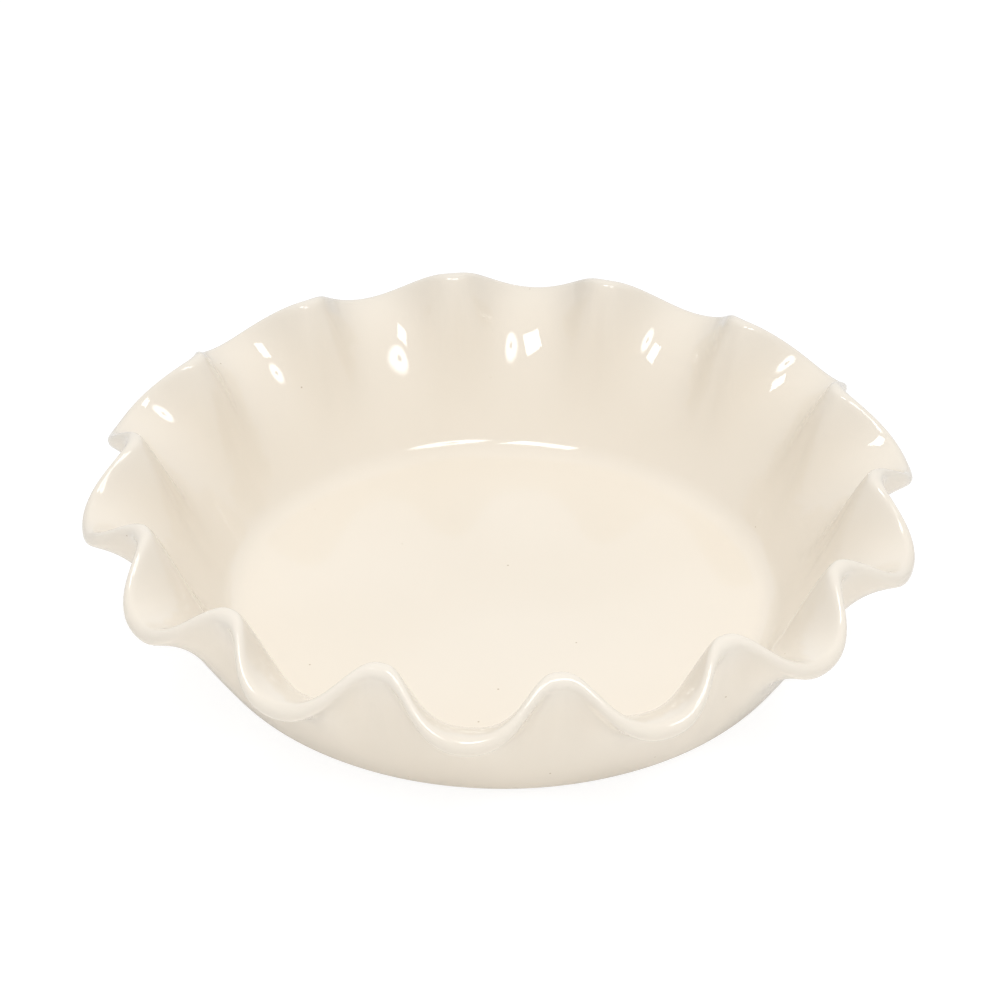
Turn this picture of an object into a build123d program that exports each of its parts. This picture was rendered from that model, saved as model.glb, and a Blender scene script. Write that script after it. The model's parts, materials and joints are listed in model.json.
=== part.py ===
from build123d import *
import os
from math import cos, hypot, pi, radians, sin, tan

# Ruffled ceramic pie dish: one fired clay body under two coats of glaze.
# Millimetres and degrees. +Z up, the origin on the dish's axis where the foot ring stands.
# +X runs through the middle of one lobe of the rim.

# The rim, followed at the middle of the clay lip
wave_count = 14
rim_radius = 126.0
rim_swing = 7.0
rim_height = 52.3
rim_drop = 7.05
swing_third_share = -0.07
drop_second_share = 0.1
drop_third_share = -0.05
wave_skew = 1.4
lip_radius = 2.6

# The wall, which leans out from a round foot
floor_radius = 84.0
foot_wall = 8.5
rim_wall_angle_lobe = 77.0
rim_wall_angle_fold = 27.0
foot_wall_angle = 34.7
foot_bow_share = 0.4
rim_bow_share = 0.35
straight_foot_share = 0.7
inside_corner = 11.0
outside_corner = 12.5

# The floor and the foot ring that it stands on
floor_thickness = 5.9
foot_ring_width = 6.0
foot_recess = 1.4
recess_corner = 0.6
floor_tuck_share = 0.25

# The glaze, and how far above the table it is wiped off the foot
glaze = 0.4
wiped_height = 1.0

# Sections that a wave is drawn through, and how many run on past each side of it
sections_per_wave = 8
sections_beyond = 2
overrun = 3.0

half_wave = 180.0 / wave_count
foot_run = (sin(radians(foot_wall_angle)), cos(radians(foot_wall_angle)))
foot_normal = (-foot_run[1], foot_run[0])
corner_reach = inside_corner * tan(radians(90 - foot_wall_angle) / 2)
corner_radius = floor_radius + corner_reach
floor_edge = corner_radius + floor_tuck_share * foot_wall / cos(radians(foot_wall_angle))


def along(point, direction, distance):
    """The point that lies a distance away in a direction, both as (radius, height)."""
    return (point[0] + direction[0] * distance, point[1] + direction[1] * distance)


def lip_centre(phase):
    """Radius and height of the lip's middle; phase 0 is a lobe, pi is a fold."""
    swing = cos(phase) + swing_third_share * cos(3 * phase)
    drop = cos(phase) + drop_second_share * cos(2 * phase) + drop_third_share * cos(3 * phase)
    return (rim_radius + rim_swing * swing, rim_height - rim_drop * drop)


def lip_direction(phase):
    """The way the wall points where it ends: flat out on a lobe, nearly upright on a fold."""
    lobe_share = (1 + cos(phase)) / 2
    spread = rim_wall_angle_lobe - rim_wall_angle_fold
    angle = radians(rim_wall_angle_fold + spread * lobe_share)
    return (sin(angle), cos(angle))


def radial_plane(angle):
    """An upright plane through the axis: its x runs outwards and its y runs up."""
    return Plane(origin=(0, 0, 0), x_dir=(cos(angle), sin(angle), 0), z_dir=(sin(angle), -cos(angle), 0))


def wall_section(step, coat):
    """The wall's section on one upright plane through the axis, grown by a coat on every side."""
    phase = 2 * pi * step / sections_per_wave
    angle = phase / wave_count + radians(wave_skew) * sin(phase)
    centre = lip_centre(phase)
    run = lip_direction(phase)
    normal = (-run[1], run[0])
    lip = lip_radius + coat
    lip_inside = along(centre, normal, lip)
    lip_outside = along(centre, normal, -lip)
    lip_tip = along(centre, run, lip)
    corner = (corner_radius, floor_thickness)
    bend_inside = along(along(corner, foot_run, straight_foot_share * inside_corner), foot_normal, coat)
    bend_outside = along(bend_inside, foot_normal, -(foot_wall + 2 * coat))
    foot_inside = along(bend_inside, foot_run, -(bend_inside[1] + overrun) / foot_run[1])
    foot_outside = along(bend_outside, foot_run, -(bend_outside[1] + overrun) / foot_run[1])
    height = hypot(centre[0] - bend_inside[0], centre[1] - bend_inside[1])
    foot_bow = foot_bow_share * height
    rim_bow = rim_bow_share * height
    inside_pulls = (along(bend_inside, foot_run, foot_bow), along(lip_inside, run, -rim_bow))
    outside_pulls = (along(lip_outside, run, -rim_bow), along(bend_outside, foot_run, foot_bow))
    with BuildSketch(radial_plane(angle)) as section:
        with BuildLine():
            Line(foot_inside, bend_inside)
            Bezier(bend_inside, *inside_pulls, lip_inside)
            ThreePointArc(lip_inside, lip_tip, lip_outside)
            Bezier(lip_outside, *outside_pulls, bend_outside)
            Line(bend_outside, foot_outside)
            Line(foot_outside, foot_inside)
        make_face()
    return section.sketch


def dish_wave(coat):
    """One wave of the dish from the axis to the lip, grown by a coat on every side."""
    side = radians(half_wave)
    with BuildPart() as wave:
        last = sections_per_wave // 2 + sections_beyond
        loft([wall_section(step, coat) for step in range(-last, last + 1)])
        split(bisect_by=radial_plane(side), keep=Keep.TOP)
        split(bisect_by=radial_plane(-side), keep=Keep.BOTTOM)
        split(bisect_by=Plane.XY.offset(-coat), keep=Keep.TOP)
        with BuildSketch(Plane.XY.offset(-coat)):
            with BuildLine():
                edge = CenterArc((0, 0), floor_edge, -half_wave, 2 * half_wave)
                Line((0, 0), edge @ 0)
                Line((0, 0), edge @ 1)
            make_face()
        extrude(amount=floor_thickness + 2 * coat)
        bends = wave.edges().filter_by(GeomType.BSPLINE)
        inside_bend = bends.filter_by_position(Axis.Z, floor_thickness, floor_thickness + 2 * coat)
        fillet(inside_bend, inside_corner - coat)
        bends = wave.edges().filter_by(GeomType.BSPLINE)
        outside_bend = bends.filter_by_position(Axis.Z, -2 * coat, 0)
        fillet(outside_bend, outside_corner + coat)
    return wave.part


clay_wave = dish_wave(0)
coat_wave = dish_wave(glaze)

# The hollow under the floor, inside the foot ring
foot_lean = floor_thickness * tan(radians(foot_wall_angle))
foot_depth = foot_wall / cos(radians(foot_wall_angle))
outside_reach = outside_corner * tan(radians(90 - foot_wall_angle) / 2)
foot_radius = corner_radius - foot_lean + foot_depth - outside_reach
with BuildPart() as recess:
    with BuildSketch():
        Circle(foot_radius - foot_ring_width)
    extrude(amount=foot_recess)
    fillet(recess.edges().sort_by(Axis.Z)[-1], recess_corner)

# The fired clay: floor, wall and rim in one piece, bare where it stands
with BuildPart() as clay_body:
    with PolarLocations(0, wave_count):
        add(clay_wave)
    add(recess.part, mode=Mode.SUBTRACT)
clay_body.part.label = "clay_body"
export_step(clay_body.part, "parts/clay_body.step")

# The main coat of glaze: the inside, over the lip and down to the wiped foot
with BuildPart() as glaze_wave:
    add(coat_wave)
    split(bisect_by=Plane.XY.offset(wiped_height), keep=Keep.TOP)
    add(clay_wave, mode=Mode.SUBTRACT)
with BuildPart() as bowl_glaze:
    with PolarLocations(0, wave_count):
        add(glaze_wave.part)
bowl_glaze.part.label = "bowl_glaze"
export_step(bowl_glaze.part, "parts/bowl_glaze.step")

# The glaze on the ceiling of the hollow, which the bare foot ring parts from the main coat
with BuildPart() as base_glaze:
    add(recess.part)
    split(bisect_by=Plane.XY.offset(foot_recess - glaze), keep=Keep.TOP)
base_glaze.part.label = "base_glaze"
export_step(base_glaze.part, "parts/base_glaze.step")
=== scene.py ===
# %% [markdown]
# # A ruffled pie dish in cream glaze
# The real dish is one fired piece of clay under a coat of shiny glaze. The construction model
# gives every size. Here the dish gets the skin that a camera sees: a smooth glazed bowl with a
# soft wavy lip, a bare clay foot under it, and two studio lamps to show the gloss.

# %% Load the construction model
import json
from collections import Counter
from math import atan2, cos, degrees, hypot, pi, radians, sin

import bmesh
import bpy
from mathutils import Matrix, Vector


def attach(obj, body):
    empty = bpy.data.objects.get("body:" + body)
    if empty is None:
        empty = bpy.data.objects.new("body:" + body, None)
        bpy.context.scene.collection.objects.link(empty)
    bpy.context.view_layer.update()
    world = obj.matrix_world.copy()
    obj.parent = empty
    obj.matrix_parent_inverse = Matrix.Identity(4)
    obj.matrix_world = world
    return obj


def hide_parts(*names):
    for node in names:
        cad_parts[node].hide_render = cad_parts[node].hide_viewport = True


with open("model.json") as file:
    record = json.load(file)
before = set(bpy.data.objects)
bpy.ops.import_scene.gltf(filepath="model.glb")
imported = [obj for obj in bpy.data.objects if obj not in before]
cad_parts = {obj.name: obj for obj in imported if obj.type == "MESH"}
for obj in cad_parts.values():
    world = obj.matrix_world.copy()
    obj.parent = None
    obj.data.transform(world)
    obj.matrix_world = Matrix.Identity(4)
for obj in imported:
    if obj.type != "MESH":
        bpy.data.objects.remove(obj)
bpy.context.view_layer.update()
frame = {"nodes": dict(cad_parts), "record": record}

# %% [markdown]
# ## Sizes of the glazed dish
# The numbers are in metres and repeat the construction's own: a flat floor, a wall that leans out
# from a round foot, and a rim of fourteen waves. A wave is a lobe, which hangs out and down, and
# a fold, which stands in and up. Glaze adds its coat on every side.

# %% Sizes
MM = 0.001
WAVES = 14
COAT = 0.4 * MM
RIM_RADIUS = 126.0 * MM
RIM_SWING = 7.0 * MM
RIM_HEIGHT = 52.3 * MM
RIM_DROP = 7.05 * MM
SWING_THIRD_SHARE = -0.07
DROP_SECOND_SHARE = 0.1
DROP_THIRD_SHARE = -0.05
WAVE_SKEW = radians(1.4)
LIP = 2.6 * MM + COAT
FLOOR_RADIUS = 84.0 * MM
FLOOR_HEIGHT = 5.9 * MM + COAT
FOOT_WALL = 8.5 * MM + 2 * COAT
FOOT_ANGLE = radians(34.7)
FOOT_STRAIGHT = 1.5 * MM
LOBE_ANGLE = radians(77.0)
FOLD_ANGLE = radians(27.0)
INSIDE_CORNER = 11.0 * MM - COAT
OUTSIDE_CORNER = 12.5 * MM + COAT
WIPED_HEIGHT = 1.0 * MM
FOOT_BOW_SHARE = 0.4
RIM_BOW_SHARE = 0.35
print("lip is", round(2 * LIP / MM, 1), "mm thick")

# %% [markdown]
# ## The profile of the wall
# Each vertical cut through the dish is drawn the way a potter's template would be: floor, corner,
# leaning wall, round lip, and back down outside. Only the top half changes from lobe to fold. A
# smoothing modifier pulls a mesh inside its own points, by a known share for each number of points
# on a wave, so the swing of the rim and the roundness of the lip are pushed out by that share.

# %% Profile
COLUMNS = 10
CORNER_STEPS = 4
LIP_STEPS = 6
WALL_SHARES = (0.12, 0.24, 0.36, 0.48, 0.6, 0.7, 0.8, 0.88, 0.95, 1.0)


def held(turn):
    """The share of a wave's height that smoothing leaves when its points are a turn apart."""
    return (2 + cos(turn)) / 3


def lip_centre(phase):
    """Radius and height of the lip's middle; phase 0 is a lobe and pi a fold."""
    hold = [held(2 * pi * n / COLUMNS) for n in range(4)]
    swing = cos(phase) / hold[1] + SWING_THIRD_SHARE * cos(3 * phase) / hold[3]
    drop = cos(phase) / hold[1] + DROP_SECOND_SHARE * cos(2 * phase) / hold[2]
    drop += DROP_THIRD_SHARE * cos(3 * phase) / hold[3]
    return Vector((RIM_RADIUS + RIM_SWING * swing, RIM_HEIGHT - RIM_DROP * drop))


def bend(start, start_pull, end_pull, end, share):
    """A point on the curve that leaves start towards start_pull and reaches end from end_pull."""
    rest = 1 - share
    return (rest ** 3 * start + 3 * rest ** 2 * share * start_pull
            + 3 * rest * share ** 2 * end_pull + share ** 3 * end)


def profile(phase):
    """The glazed outline at one place on a wave, as (radius, height) from floor to foot."""
    lean = FOLD_ANGLE + (LOBE_ANGLE - FOLD_ANGLE) * (1 + cos(phase)) / 2
    run, normal = Vector((sin(lean), cos(lean))), Vector((-cos(lean), sin(lean)))
    foot_run = Vector((sin(FOOT_ANGLE), cos(FOOT_ANGLE)))
    foot_normal = Vector((-cos(FOOT_ANGLE), sin(FOOT_ANGLE)))
    centre = lip_centre(phase)
    sweep = pi / 2 - FOOT_ANGLE
    points = []
    for step in range(CORNER_STEPS + 1):
        turn = sweep * step / CORNER_STEPS
        points.append(Vector((FLOOR_RADIUS + INSIDE_CORNER * sin(turn),
                              FLOOR_HEIGHT + INSIDE_CORNER * (1 - cos(turn)))))
    inside = points[-1] + foot_run * FOOT_STRAIGHT
    outside = inside - foot_normal * FOOT_WALL
    reach = (centre - (inside + outside) / 2).length
    lip_inside, lip_outside = centre + normal * LIP, centre - normal * LIP
    for share in WALL_SHARES:
        points.append(bend(inside, inside + foot_run * FOOT_BOW_SHARE * reach,
                           lip_inside - run * RIM_BOW_SHARE * reach, lip_inside, share))
    round_lip = LIP / held(pi / LIP_STEPS)
    for step in range(1, LIP_STEPS):
        turn = pi * step / LIP_STEPS
        points.append(centre + normal * round_lip * cos(turn) + run * round_lip * sin(turn))
    for share in (*reversed(WALL_SHARES), 0.0):
        points.append(bend(outside, outside + foot_run * FOOT_BOW_SHARE * reach,
                           lip_outside - run * RIM_BOW_SHARE * reach, lip_outside, share))
    low = (1 - cos(sweep)) * OUTSIDE_CORNER
    edge = outside - foot_run * (outside.y - low) / foot_run.y
    centre_of_foot = Vector((edge.x - OUTSIDE_CORNER * sin(sweep), OUTSIDE_CORNER - COAT))
    wiped = (OUTSIDE_CORNER - COAT - WIPED_HEIGHT) / OUTSIDE_CORNER
    last = pi / 2 - atan2(wiped, (1 - wiped ** 2) ** 0.5)
    for step in range(1, CORNER_STEPS + 1):
        turn = sweep + (last - sweep) * step / CORNER_STEPS
        points.append(centre_of_foot + OUTSIDE_CORNER * Vector((sin(turn), -cos(turn))))
    return points


lobe, fold = profile(0), profile(pi)
print("stations", len(lobe), "lobe reaches", round(max(p.x for p in lobe) / MM, 1), "mm",
      "fold top", round(max(p.y for p in fold) / MM, 1), "mm")

# %% [markdown]
# ## Helpers for modelling by hand
# An operator acts on all that is selected, so each helper first selects just what it needs. The
# rings of the dish are made by extruding an edge loop again and again, and the waves by scaling
# and lifting every tenth point of the newest ring together.

# %% Helpers
def deselect_all():
    """Leave no object selected."""
    for thing in bpy.context.selected_objects:
        thing.select_set(False)


def choose_only(piece):
    """Make a piece the only selected one, and the active one."""
    deselect_all()
    piece.select_set(True)
    bpy.context.view_layer.objects.active = piece


def edit(piece):
    """Make a piece the only selected one and go into its edit mode, picking points."""
    choose_only(piece)
    bpy.ops.object.mode_set(mode="EDIT")
    bpy.ops.mesh.select_mode(type="VERT")
    return bmesh.from_edit_mesh(piece.data)


def done():
    """Leave edit mode."""
    bpy.ops.object.mode_set(mode="OBJECT")


def pick(piece, numbers):
    """Select these points of the mesh in edit mode, and the edges that join them."""
    mesh = bmesh.from_edit_mesh(piece.data)
    mesh.verts.ensure_lookup_table()
    for element in [*mesh.faces, *mesh.edges, *mesh.verts]:
        element.select = False
    for number in numbers:
        mesh.verts[number].select = True
    mesh.select_flush(True)
    bmesh.update_edit_mesh(piece.data)


def picked(piece):
    """The numbers of the selected points."""
    return [v.index for v in bmesh.from_edit_mesh(piece.data).verts if v.select]


def next_ring(piece):
    """Extrude the selected loop in place and return the new loop's points."""
    bpy.ops.mesh.extrude_region()
    mesh = bmesh.from_edit_mesh(piece.data)
    mesh.verts.index_update()
    return picked(piece)


def column_of(point):
    """Which point of its wave this is, from its direction seen from above."""
    turn = atan2(point.y, point.x) % (2 * pi / WAVES)
    steps = [2 * pi * n / (WAVES * COLUMNS) + WAVE_SKEW * sin(2 * pi * n / COLUMNS)
             for n in range(COLUMNS + 1)]
    return min(range(COLUMNS + 1), key=lambda n: abs(steps[n] - turn)) % COLUMNS


def shape_ring(piece, ring, station, profiles):
    """Scale and lift a ring, one column of the wave at a time, to its station on the profile."""
    for column in range(COLUMNS // 2 + 1):
        mesh = bmesh.from_edit_mesh(piece.data)
        mesh.verts.ensure_lookup_table()
        twins = (column, (COLUMNS - column) % COLUMNS)
        group = [n for n in ring if column_of(mesh.verts[n].co) in twins]
        now = mesh.verts[group[0]].co
        goal = profiles[column][station]
        grow = goal.x / hypot(now.x, now.y)
        lift = goal.y - now.z
        pick(piece, group)
        bpy.ops.transform.resize(value=(grow, grow, 1), center_override=(0, 0, 0))
        bpy.ops.transform.translate(value=(0, 0, lift))
    pick(piece, ring)


def apply_modifiers(piece):
    """Apply every modifier of a piece, first to last."""
    choose_only(piece)
    for modifier in list(piece.modifiers):
        bpy.ops.object.modifier_apply(modifier=modifier.name)


# %% [markdown]
# ## The glazed surface, ring by ring
# The dish starts as one circle on the floor, with ten points to a wave. Some of them are turned
# a little about the axis, because a lobe of the real rim is wider than a fold. The loop is then
# extruded from station to station: out to the corner, up the wall, over the lip and down outside.

# %% Raise the wall
deselect_all()
bpy.ops.mesh.primitive_circle_add(vertices=WAVES * COLUMNS, radius=FLOOR_RADIUS,
                                  location=(0, 0, FLOOR_HEIGHT))
surface = bpy.context.object
surface.name = "bowl_surface"
bpy.ops.object.transform_apply(location=True, rotation=True, scale=True)
profiles = [profile(2 * pi * column / COLUMNS) for column in range(COLUMNS // 2 + 1)]
mesh = edit(surface)
ring = [v.index for v in mesh.verts]
even = [round(atan2(v.co.y, v.co.x) * WAVES * COLUMNS / (2 * pi)) % COLUMNS for v in mesh.verts]
for column in range(1, COLUMNS):
    turn = WAVE_SKEW * sin(2 * pi * column / COLUMNS)
    if abs(turn) > 1e-9:
        pick(surface, [number for number in ring if even[number] == column])
        bpy.ops.transform.rotate(value=-turn, orient_axis="Z", center_override=(0, 0, 0))
mesh = bmesh.from_edit_mesh(surface.data)
mesh.verts.ensure_lookup_table()
third = [v.co for v in mesh.verts if column_of(v.co) == 2 and v.co.x > 0 and abs(v.co.y) < 0.02]
print("third point of a wave near +X stands at",
      [round(degrees(atan2(p.y, p.x)), 2) for p in third], "degrees")
pick(surface, ring)
for station in range(1, len(profiles[0])):
    ring = next_ring(surface)
    shape_ring(surface, ring, station, profiles)
done()
print("wall raised:", len(surface.data.vertices), "points")

# %% [markdown]
# ## The floor
# The first loop is extruded inwards three times, and a fourth loop is drawn together in the
# middle. The floor is flat, so the fan of faces in the middle doesn't show.

# %% Close the floor
FLOOR_RINGS = (0.97, 0.6, 0.2)
mesh = edit(surface)
floor_ring = [v.index for v in mesh.verts if v.index < WAVES * COLUMNS]
pick(surface, floor_ring)
for share in FLOOR_RINGS:
    ring = next_ring(surface)
    mesh = bmesh.from_edit_mesh(surface.data)
    mesh.verts.ensure_lookup_table()
    now = mesh.verts[ring[0]].co
    shrink = FLOOR_RADIUS * share / hypot(now.x, now.y)
    bpy.ops.transform.resize(value=(shrink, shrink, 1), center_override=(0, 0, 0))
next_ring(surface)
bpy.ops.mesh.merge(type="CENTER")
bpy.ops.mesh.select_all(action="SELECT")
bpy.ops.mesh.remove_doubles(threshold=0.00001)
bpy.ops.mesh.normals_make_consistent(inside=False)
done()
up = [p.normal.z for p in surface.data.polygons if p.center.xy.length < 0.05]
if sum(up) < 0:
    edit(surface)
    bpy.ops.mesh.select_all(action="SELECT")
    bpy.ops.mesh.flip_normals()
    done()
smooth = surface.modifiers.new("soften", "SUBSURF")
smooth.levels = smooth.render_levels = 2
apply_modifiers(surface)
top = max(v.co.z for v in surface.data.vertices)
print("surface:", len(surface.data.vertices), "points, top at", round(top / MM, 2), "mm")

# %% [markdown]
# ## The clay under the glaze
# Clay shows only at the foot ring, where the glaze was wiped off. It is a copy of the surface,
# shrunk by the coat, with its open edge drawn down to the table, across the ring, up into the
# hollow and shut in the middle.

# %% Clay core
RING_WIDTH = 6.0 * MM
FOOT_RADIUS = frame["record"]["mounts"][0]["pos_m"][0] + RING_WIDTH / 2
HOLLOW = 1.4 * MM
HOLLOW_CORNER = 0.6 * MM
SKIN_GAP = 0.02 * MM
choose_only(surface)
bpy.ops.object.duplicate()
clay = bpy.context.object
clay.name = "clay_core"
edit(clay)
bpy.ops.mesh.select_all(action="SELECT")
bpy.ops.transform.shrink_fatten(value=-(COAT + SKIN_GAP))
mesh = bmesh.from_edit_mesh(clay.data)
ring = sorted({v.index for e in mesh.edges if e.is_boundary for v in e.verts})
pick(clay, ring)
hollow_radius = FOOT_RADIUS - RING_WIDTH
stations = [(FOOT_RADIUS + 2.2 * MM, 0.25 * MM), (FOOT_RADIUS + 0.6 * MM, 0.02 * MM),
            (FOOT_RADIUS, 0.0), (hollow_radius + 0.3 * MM, 0.0), (hollow_radius, 0.25 * MM),
            (hollow_radius, HOLLOW - HOLLOW_CORNER),
            (hollow_radius - 0.3 * HOLLOW_CORNER, HOLLOW - 0.3 * HOLLOW_CORNER),
            (hollow_radius - HOLLOW_CORNER, HOLLOW), (hollow_radius / 2, HOLLOW)]
for radius, height in stations:
    ring = next_ring(clay)
    mesh = bmesh.from_edit_mesh(clay.data)
    mesh.verts.ensure_lookup_table()
    now = mesh.verts[ring[0]].co
    grow = radius / hypot(now.x, now.y)
    bpy.ops.transform.resize(value=(grow, grow, 0), center_override=(0, 0, height))
next_ring(clay)
bpy.ops.mesh.merge(type="CENTER")
bpy.ops.mesh.select_all(action="SELECT")
bpy.ops.mesh.remove_doubles(threshold=0.00001)
bpy.ops.mesh.normals_make_consistent(inside=False)
done()
face_edges = [key for face in clay.data.polygons for key in face.edge_keys]
shared = set(Counter(face_edges).values())
print("clay lowest", min(v.co.z for v in clay.data.vertices), "faces on an edge", shared)

# %% [markdown]
# ## The edge of the glaze
# Only the outer face of the glaze can be seen, and its wiped edge under the dish. So the open
# edge of the surface is extruded once, back to the clay, which shows as a fine step there.

# %% Glaze skin
skin = surface
skin.name = "glazed_bowl"
mesh = edit(skin)
rim_of_coat = sorted({v.index for e in mesh.edges if e.is_boundary for v in e.verts})
pick(skin, rim_of_coat)
ring = next_ring(skin)
mesh = bmesh.from_edit_mesh(skin.data)
mesh.verts.ensure_lookup_table()
edge_radius = hypot(mesh.verts[ring[0]].co.x, mesh.verts[ring[0]].co.y)
shrink = (edge_radius - 1.5 * COAT) / edge_radius
bpy.ops.transform.resize(value=(shrink, shrink, 1), center_override=(0, 0, 0))
bpy.ops.mesh.select_all(action="SELECT")
bpy.ops.mesh.normals_make_consistent(inside=False)
done()
for piece in (skin, clay):
    choose_only(piece)
    bpy.ops.object.shade_smooth_by_angle(angle=radians(40))
print("glaze skin:", len(skin.data.polygons), "faces; clay:", len(clay.data.polygons), "faces")

# %% [markdown]
# ## Cream glaze
# The glaze is a warm cream with a wet shine. It is a touch paler where it runs thin over the lip,
# and never quite even below it. A very shallow ripple bends the reflections, and a few pinholes
# dot it. All patterns follow the object.

# %% Cream glaze
CREAM = (0.885, 0.808, 0.693, 1.0)
EVEN_CREAM = (0.898, 0.824, 0.714, 1.0)
THIN_CREAM = (0.905, 0.840, 0.740, 1.0)
PINHOLE = (0.60, 0.50, 0.37, 1.0)
PINHOLE_CELLS = 80.0
PINHOLE_EDGE, PINHOLE_MIDDLE = 0.034, 0.018
SHINE_ROUGHNESS = 0.02
GLAZE_IOR = 1.6
RIPPLE_CELLS, RIPPLE_STRENGTH, RIPPLE_DEPTH = 45.0, 0.04, 0.4 * MM


def new_material(name):
    """A node material with an empty tree but for its shader and output."""
    material = bpy.data.materials.new(name)
    material.use_nodes = True
    return material, material.node_tree.nodes, material.node_tree.links


def noise(nodes, links, coordinate, scale, detail, name):
    """A noise pattern on the object's own coordinates, scale in cells to the metre."""
    node = nodes.new("ShaderNodeTexNoise")
    node.name = name
    node.inputs["Scale"].default_value = scale
    node.inputs["Detail"].default_value = detail
    links.new(coordinate.outputs["Object"], node.inputs["Vector"])
    return node


def between(nodes, links, value, low, high, name):
    """Map a value's stretch from low to high on to 0 to 1, smoothly."""
    node = nodes.new("ShaderNodeMapRange")
    node.name = name
    node.interpolation_type = "SMOOTHSTEP"
    node.inputs["From Min"].default_value = low
    node.inputs["From Max"].default_value = high
    links.new(value, node.inputs["Value"])
    return node.outputs["Result"]


def mix(nodes, links, share, first, second, name):
    """Blend two colours, each a value or a socket."""
    node = nodes.new("ShaderNodeMix")
    node.name = name
    node.data_type = "RGBA"
    for socket, source in (("A", first), ("B", second)):
        target = [s for s in node.inputs if s.name == socket and s.type == "RGBA"][0]
        if isinstance(source, tuple):
            target.default_value = source
        else:
            links.new(source, target)
    links.new(share, node.inputs[0])
    return [s for s in node.outputs if s.type == "RGBA"][0]


glaze, nodes, links = new_material("cream_glaze")
shader = nodes["Principled BSDF"]
coordinate = nodes.new("ShaderNodeTexCoord")
place = nodes.new("ShaderNodeSeparateXYZ")
links.new(coordinate.outputs["Object"], place.inputs["Vector"])
height = place.outputs["Z"]
cloud = noise(nodes, links, coordinate, 14.0, 1.0, "uneven_coat")
uneven = between(nodes, links, cloud.outputs["Fac"], 0.35, 0.65, "uneven_share")
coat_colour = mix(nodes, links, uneven, CREAM, EVEN_CREAM, "coat_colour")
thin = between(nodes, links, height, 40 * MM, 62 * MM, "thin_over_the_lip")
lip_colour = mix(nodes, links, thin, coat_colour, THIN_CREAM, "lip_colour")
holes = nodes.new("ShaderNodeTexVoronoi")
holes.name = "pinholes"
holes.inputs["Scale"].default_value = PINHOLE_CELLS
links.new(coordinate.outputs["Object"], holes.inputs["Vector"])
hole = between(nodes, links, holes.outputs["Distance"], PINHOLE_EDGE, PINHOLE_MIDDLE,
               "pinhole_share")
glaze_colour = mix(nodes, links, hole, lip_colour, PINHOLE, "glaze_colour")
links.new(glaze_colour, shader.inputs["Base Color"])
shader.inputs["Roughness"].default_value = SHINE_ROUGHNESS
shader.inputs["IOR"].default_value = GLAZE_IOR
ripple = noise(nodes, links, coordinate, RIPPLE_CELLS, 0.0, "ripple")
bump = nodes.new("ShaderNodeBump")
bump.inputs["Strength"].default_value = RIPPLE_STRENGTH
bump.inputs["Distance"].default_value = RIPPLE_DEPTH
links.new(ripple.outputs["Fac"], bump.inputs["Height"])
links.new(bump.outputs["Normal"], shader.inputs["Normal"])
print("glaze has", len(nodes), "nodes")

# %% [markdown]
# ## Bare clay
# The foot ring is unglazed stoneware: matt, pale tan and finely gritty, with a little iron
# speckle.

# %% Bare clay
CLAY = (0.60, 0.49, 0.36, 1.0)
DARK_CLAY = (0.44, 0.33, 0.22, 1.0)
fired, nodes, links = new_material("fired_clay")
shader = nodes["Principled BSDF"]
coordinate = nodes.new("ShaderNodeTexCoord")
grit = noise(nodes, links, coordinate, 1800.0, 4.0, "grit")
speck = noise(nodes, links, coordinate, 260.0, 2.0, "iron_speck")
speck_share = between(nodes, links, speck.outputs["Fac"], 0.60, 0.72, "speck_share")
clay_colour = mix(nodes, links, speck_share, CLAY, DARK_CLAY, "clay_colour")
links.new(clay_colour, shader.inputs["Base Color"])
shader.inputs["Roughness"].default_value = 0.85
bump = nodes.new("ShaderNodeBump")
bump.inputs["Strength"].default_value = 0.6
bump.inputs["Distance"].default_value = 0.0001
links.new(grit.outputs["Fac"], bump.inputs["Height"])
links.new(bump.outputs["Normal"], shader.inputs["Normal"])
print("clay has", len(nodes), "nodes")

# %% [markdown]
# ## Dress the construction model
# The two modelled pieces stand for the clay and the main coat. The coat on the ceiling of the
# hollow is a plain disc, so the construction's own solid stays and only gets the glaze.

# %% Dress
skin.data.materials.clear()
skin.data.materials.append(glaze)
clay.data.materials.clear()
clay.data.materials.append(fired)
base = frame["nodes"]["base_glaze"]
base.data.materials.clear()
base.data.materials.append(glaze)
for piece, node, slot in ((skin, "bowl_glaze", "cream_glaze"), (clay, "clay_body", "fired_clay")):
    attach(piece, "root")
    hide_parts(node)
print("dressed", skin.name, clay.name, base.name)

# %% [markdown]
# ## Floor and surround
# The dish stands on a plain white table in a white room. The camera and every mirrored ray see
# the room at full white. The soft light that falls on the dish is weaker, and comes more from
# above than from the sides. The table sends some light up, as a shooting table does. It glows most
# for the camera, which keeps the page white and the shadow faint, and less for mirrored rays, so
# that the glaze still mirrors a dark line where the dish meets the table.

# %% Floor and surround
OVERHEAD_LIGHT = 0.85
HORIZON_LIGHT = 0.27
TABLE_LIGHT = 0.30
FULL_WHITE = 1.0
SOFT_GREY, MIRRORED_GREY, CAMERA_GREY = 0.85, 0.75, 0.24
MIRRORED_GLOW, CAMERA_GLOW = 0.17, 0.86


def mirrored(nodes, links, path):
    """One for mirrored and refracted rays, zero for all others."""
    either = nodes.new("ShaderNodeMath")
    either.operation = "MAXIMUM"
    links.new(path.outputs["Is Glossy Ray"], either.inputs[0])
    links.new(path.outputs["Is Transmission Ray"], either.inputs[1])
    return either.outputs[0]


def choose(nodes, links, share, value, other):
    """Pass value on where share is 0 and the other where it is 1."""
    node = nodes.new("ShaderNodeMapRange")
    for socket, source in (("To Min", value), ("To Max", other)):
        if isinstance(source, float):
            node.inputs[socket].default_value = source
        else:
            links.new(source, node.inputs[socket])
    links.new(share, node.inputs["Value"])
    return node.outputs["Result"]


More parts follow.
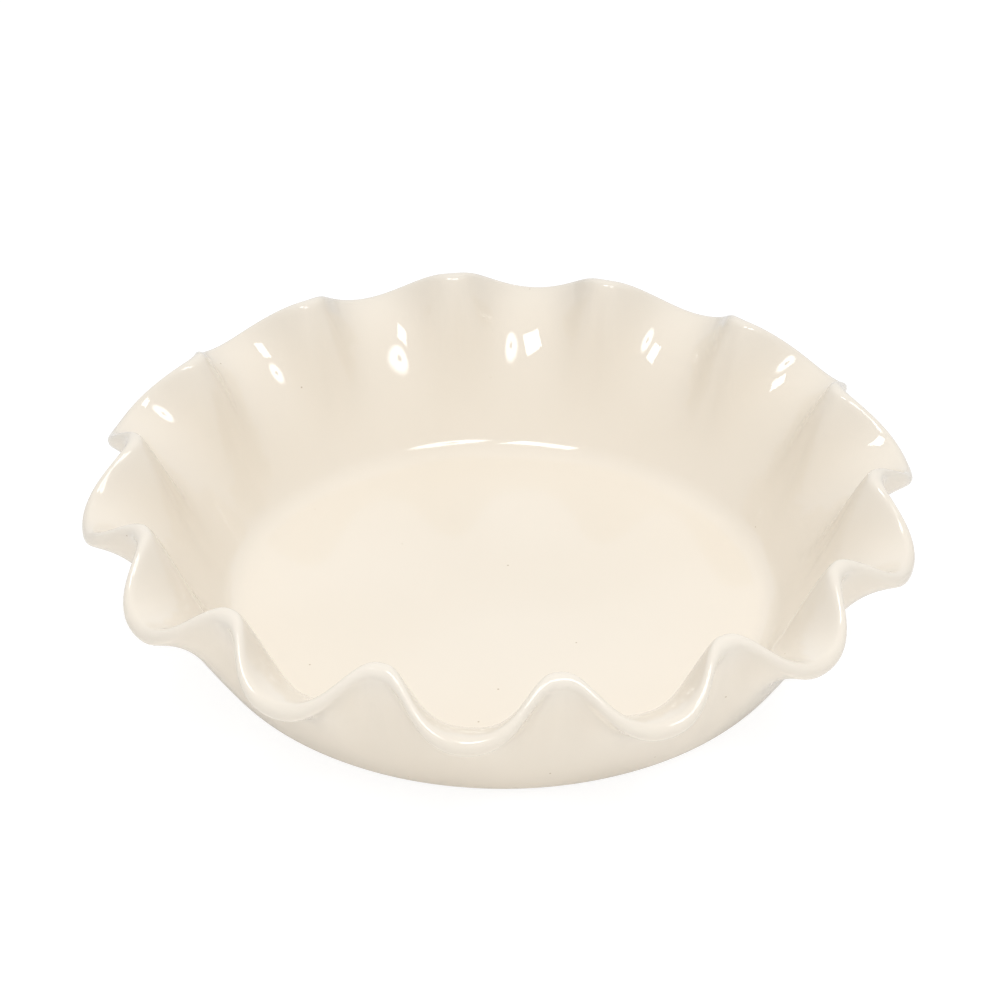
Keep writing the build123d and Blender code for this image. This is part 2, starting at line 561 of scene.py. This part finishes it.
deselect_all()
bpy.ops.mesh.primitive_plane_add(size=8.0, location=(0, 0, 0))
ground = bpy.context.object
ground.name = "studio_floor"
floor_paint, nodes, links = new_material("studio_floor_white")
shader = nodes["Principled BSDF"]
shader.inputs["Roughness"].default_value = 0.9
shader.inputs["Specular IOR Level"].default_value = 0.0
shader.inputs["Emission Color"].default_value = (1, 1, 1, 1)
path = nodes.new("ShaderNodeLightPath")
for_mirror = mirrored(nodes, links, path)
camera_ray = path.outputs["Is Camera Ray"]
grey = choose(nodes, links, for_mirror, SOFT_GREY, MIRRORED_GREY)
grey = choose(nodes, links, camera_ray, grey, CAMERA_GREY)
glow = choose(nodes, links, for_mirror, TABLE_LIGHT, MIRRORED_GLOW)
glow = choose(nodes, links, camera_ray, glow, CAMERA_GLOW)
links.new(grey, shader.inputs["Base Color"])
links.new(glow, shader.inputs["Emission Strength"])
ground.data.materials.append(floor_paint)

world = bpy.data.worlds.new("studio")
bpy.context.scene.world = world
world.use_nodes = True
nodes, links = world.node_tree.nodes, world.node_tree.links
background = nodes["Background"]
background.inputs["Color"].default_value = (1, 1, 1, 1)
heading = nodes.new("ShaderNodeTexCoord")
rise = nodes.new("ShaderNodeSeparateXYZ")
links.new(heading.outputs["Generated"], rise.inputs["Vector"])
soft = nodes.new("ShaderNodeMapRange")
soft.interpolation_type = "SMOOTHSTEP"
soft.inputs["From Min"].default_value = sin(radians(15))
soft.inputs["From Max"].default_value = sin(radians(60))
soft.inputs["To Min"].default_value = HORIZON_LIGHT
soft.inputs["To Max"].default_value = OVERHEAD_LIGHT
links.new(rise.outputs["Z"], soft.inputs["Value"])
path = nodes.new("ShaderNodeLightPath")
for_mirror = mirrored(nodes, links, path)
strength = choose(nodes, links, for_mirror, soft.outputs["Result"], FULL_WHITE)
strength = choose(nodes, links, path.outputs["Is Camera Ray"], strength, FULL_WHITE)
links.new(strength, background.inputs["Strength"])
print("light overhead", OVERHEAD_LIGHT, "and round the horizon", HORIZON_LIGHT)

# %% [markdown]
# ## Camera
# The camera was worked out from the picture: it looks down at 33 degrees from a bit over a metre,
# with a long lens, and the wave of the rim on +X is turned a little to the right of it.

# %% Camera
IMAGE = 1000.0
VIEW_HEIGHT = radians(32.985)
VIEW_TURN = radians(-8.344)
VIEW_ROLL = radians(0.345)
VIEW_DISTANCE = 1.1391
FOCAL_PIXELS = 3525.5
CENTRE_PIXEL = (501.9, 479.9)
SENSOR = 36.0
target = Vector((0, 0, RIM_HEIGHT))
forward = Vector((-sin(VIEW_TURN) * cos(VIEW_HEIGHT), cos(VIEW_TURN) * cos(VIEW_HEIGHT),
                  -sin(VIEW_HEIGHT)))
side = Vector((cos(VIEW_TURN), sin(VIEW_TURN), 0))
over = side.cross(forward)
rolled_side = side * cos(VIEW_ROLL) + over * sin(VIEW_ROLL)
rolled_over = over * cos(VIEW_ROLL) - side * sin(VIEW_ROLL)
lens = bpy.data.cameras.new("camera")
lens.sensor_width = SENSOR
lens.lens = FOCAL_PIXELS / IMAGE * SENSOR
lens.shift_x = (IMAGE / 2 - CENTRE_PIXEL[0]) / IMAGE
lens.shift_y = (CENTRE_PIXEL[1] - IMAGE / 2) / IMAGE
lens.clip_end = 50
camera = bpy.data.objects.new("camera", lens)
bpy.context.collection.objects.link(camera)
turn = Matrix((rolled_side, rolled_over, -forward)).transposed().to_4x4()
camera.matrix_world = Matrix.Translation(target - forward * VIEW_DISTANCE) @ turn
bpy.context.scene.camera = camera
print("camera at", [round(c, 3) for c in camera.location], "lens", round(lens.lens, 1))

# %% [markdown]
# ## Lamps
# Two lamps hang above the camera: a square softbox and a round umbrella. Each bay of the rim
# shows both, side by side, as a small square and a small round glint. The umbrella fades at its
# edge, and its flash head makes the tiny dark middle of the round glints.

# %% Lamps
def lamp(name, shape, width, depth, turn, height, distance, shine):
    """A soft lamp aimed at the dish; turn counts from the camera's side, shine is brightness."""
    light = bpy.data.lights.new(name, "AREA")
    light.shape = shape
    light.size = width
    light.size_y = depth
    area = width * depth if shape == "RECTANGLE" else pi * width * depth / 4
    light.energy = shine * pi * area
    heading = VIEW_TURN - pi / 2 + radians(turn)
    rise = radians(height)
    away = Vector((cos(heading) * cos(rise), sin(heading) * cos(rise), sin(rise)))
    lamp_object = bpy.data.objects.new(name, light)
    bpy.context.collection.objects.link(lamp_object)
    lamp_object.location = target + away * distance
    lamp_object.rotation_euler = away.to_track_quat("Z", "Y").to_euler()
    return lamp_object


def fade(lamp_object):
    """Dim a round lamp towards its edge, and in the middle, where the flash head stands."""
    lamp_object.data.use_nodes = True
    nodes, links = lamp_object.data.node_tree.nodes, lamp_object.data.node_tree.links
    spot = nodes.new("ShaderNodeNewGeometry")
    away = nodes.new("ShaderNodeVectorMath")
    away.operation = "DISTANCE"
    away.inputs[1].default_value = (0.5, 0.5, 0)
    links.new(spot.outputs["Parametric"], away.inputs[0])
    edge = between(nodes, links, away.outputs["Value"], 0.5, 0.28, "soft_edge")
    core = between(nodes, links, away.outputs["Value"], 0.06, 0.13, "dark_middle")
    both = nodes.new("ShaderNodeMath")
    both.operation = "MULTIPLY"
    links.new(edge, both.inputs[0])
    links.new(core, both.inputs[1])
    links.new(both.outputs[0], nodes["Emission"].inputs["Strength"])


softbox = lamp("softbox", "RECTANGLE", 0.28, 0.25, -29, 68, 0.9, 7.0)
umbrella = lamp("umbrella", "ELLIPSE", 0.64, 0.46, 30, 58, 1.2, 7.0)
fade(umbrella)
print("softbox", round(softbox.data.energy, 2), "watts, umbrella", round(umbrella.data.energy, 2))

# %% [markdown]
# ## Look and finish
# Along the edge of a fold the glaze mirrors itself many times over, so light may bounce there
# more often than usual; else a thin black line would run along the fold.

# %% Look and finish
MIRROR_BOUNCES = 10
bpy.context.scene.cycles.glossy_bounces = MIRROR_BOUNCES
bpy.context.scene.view_settings.view_transform = "Standard"
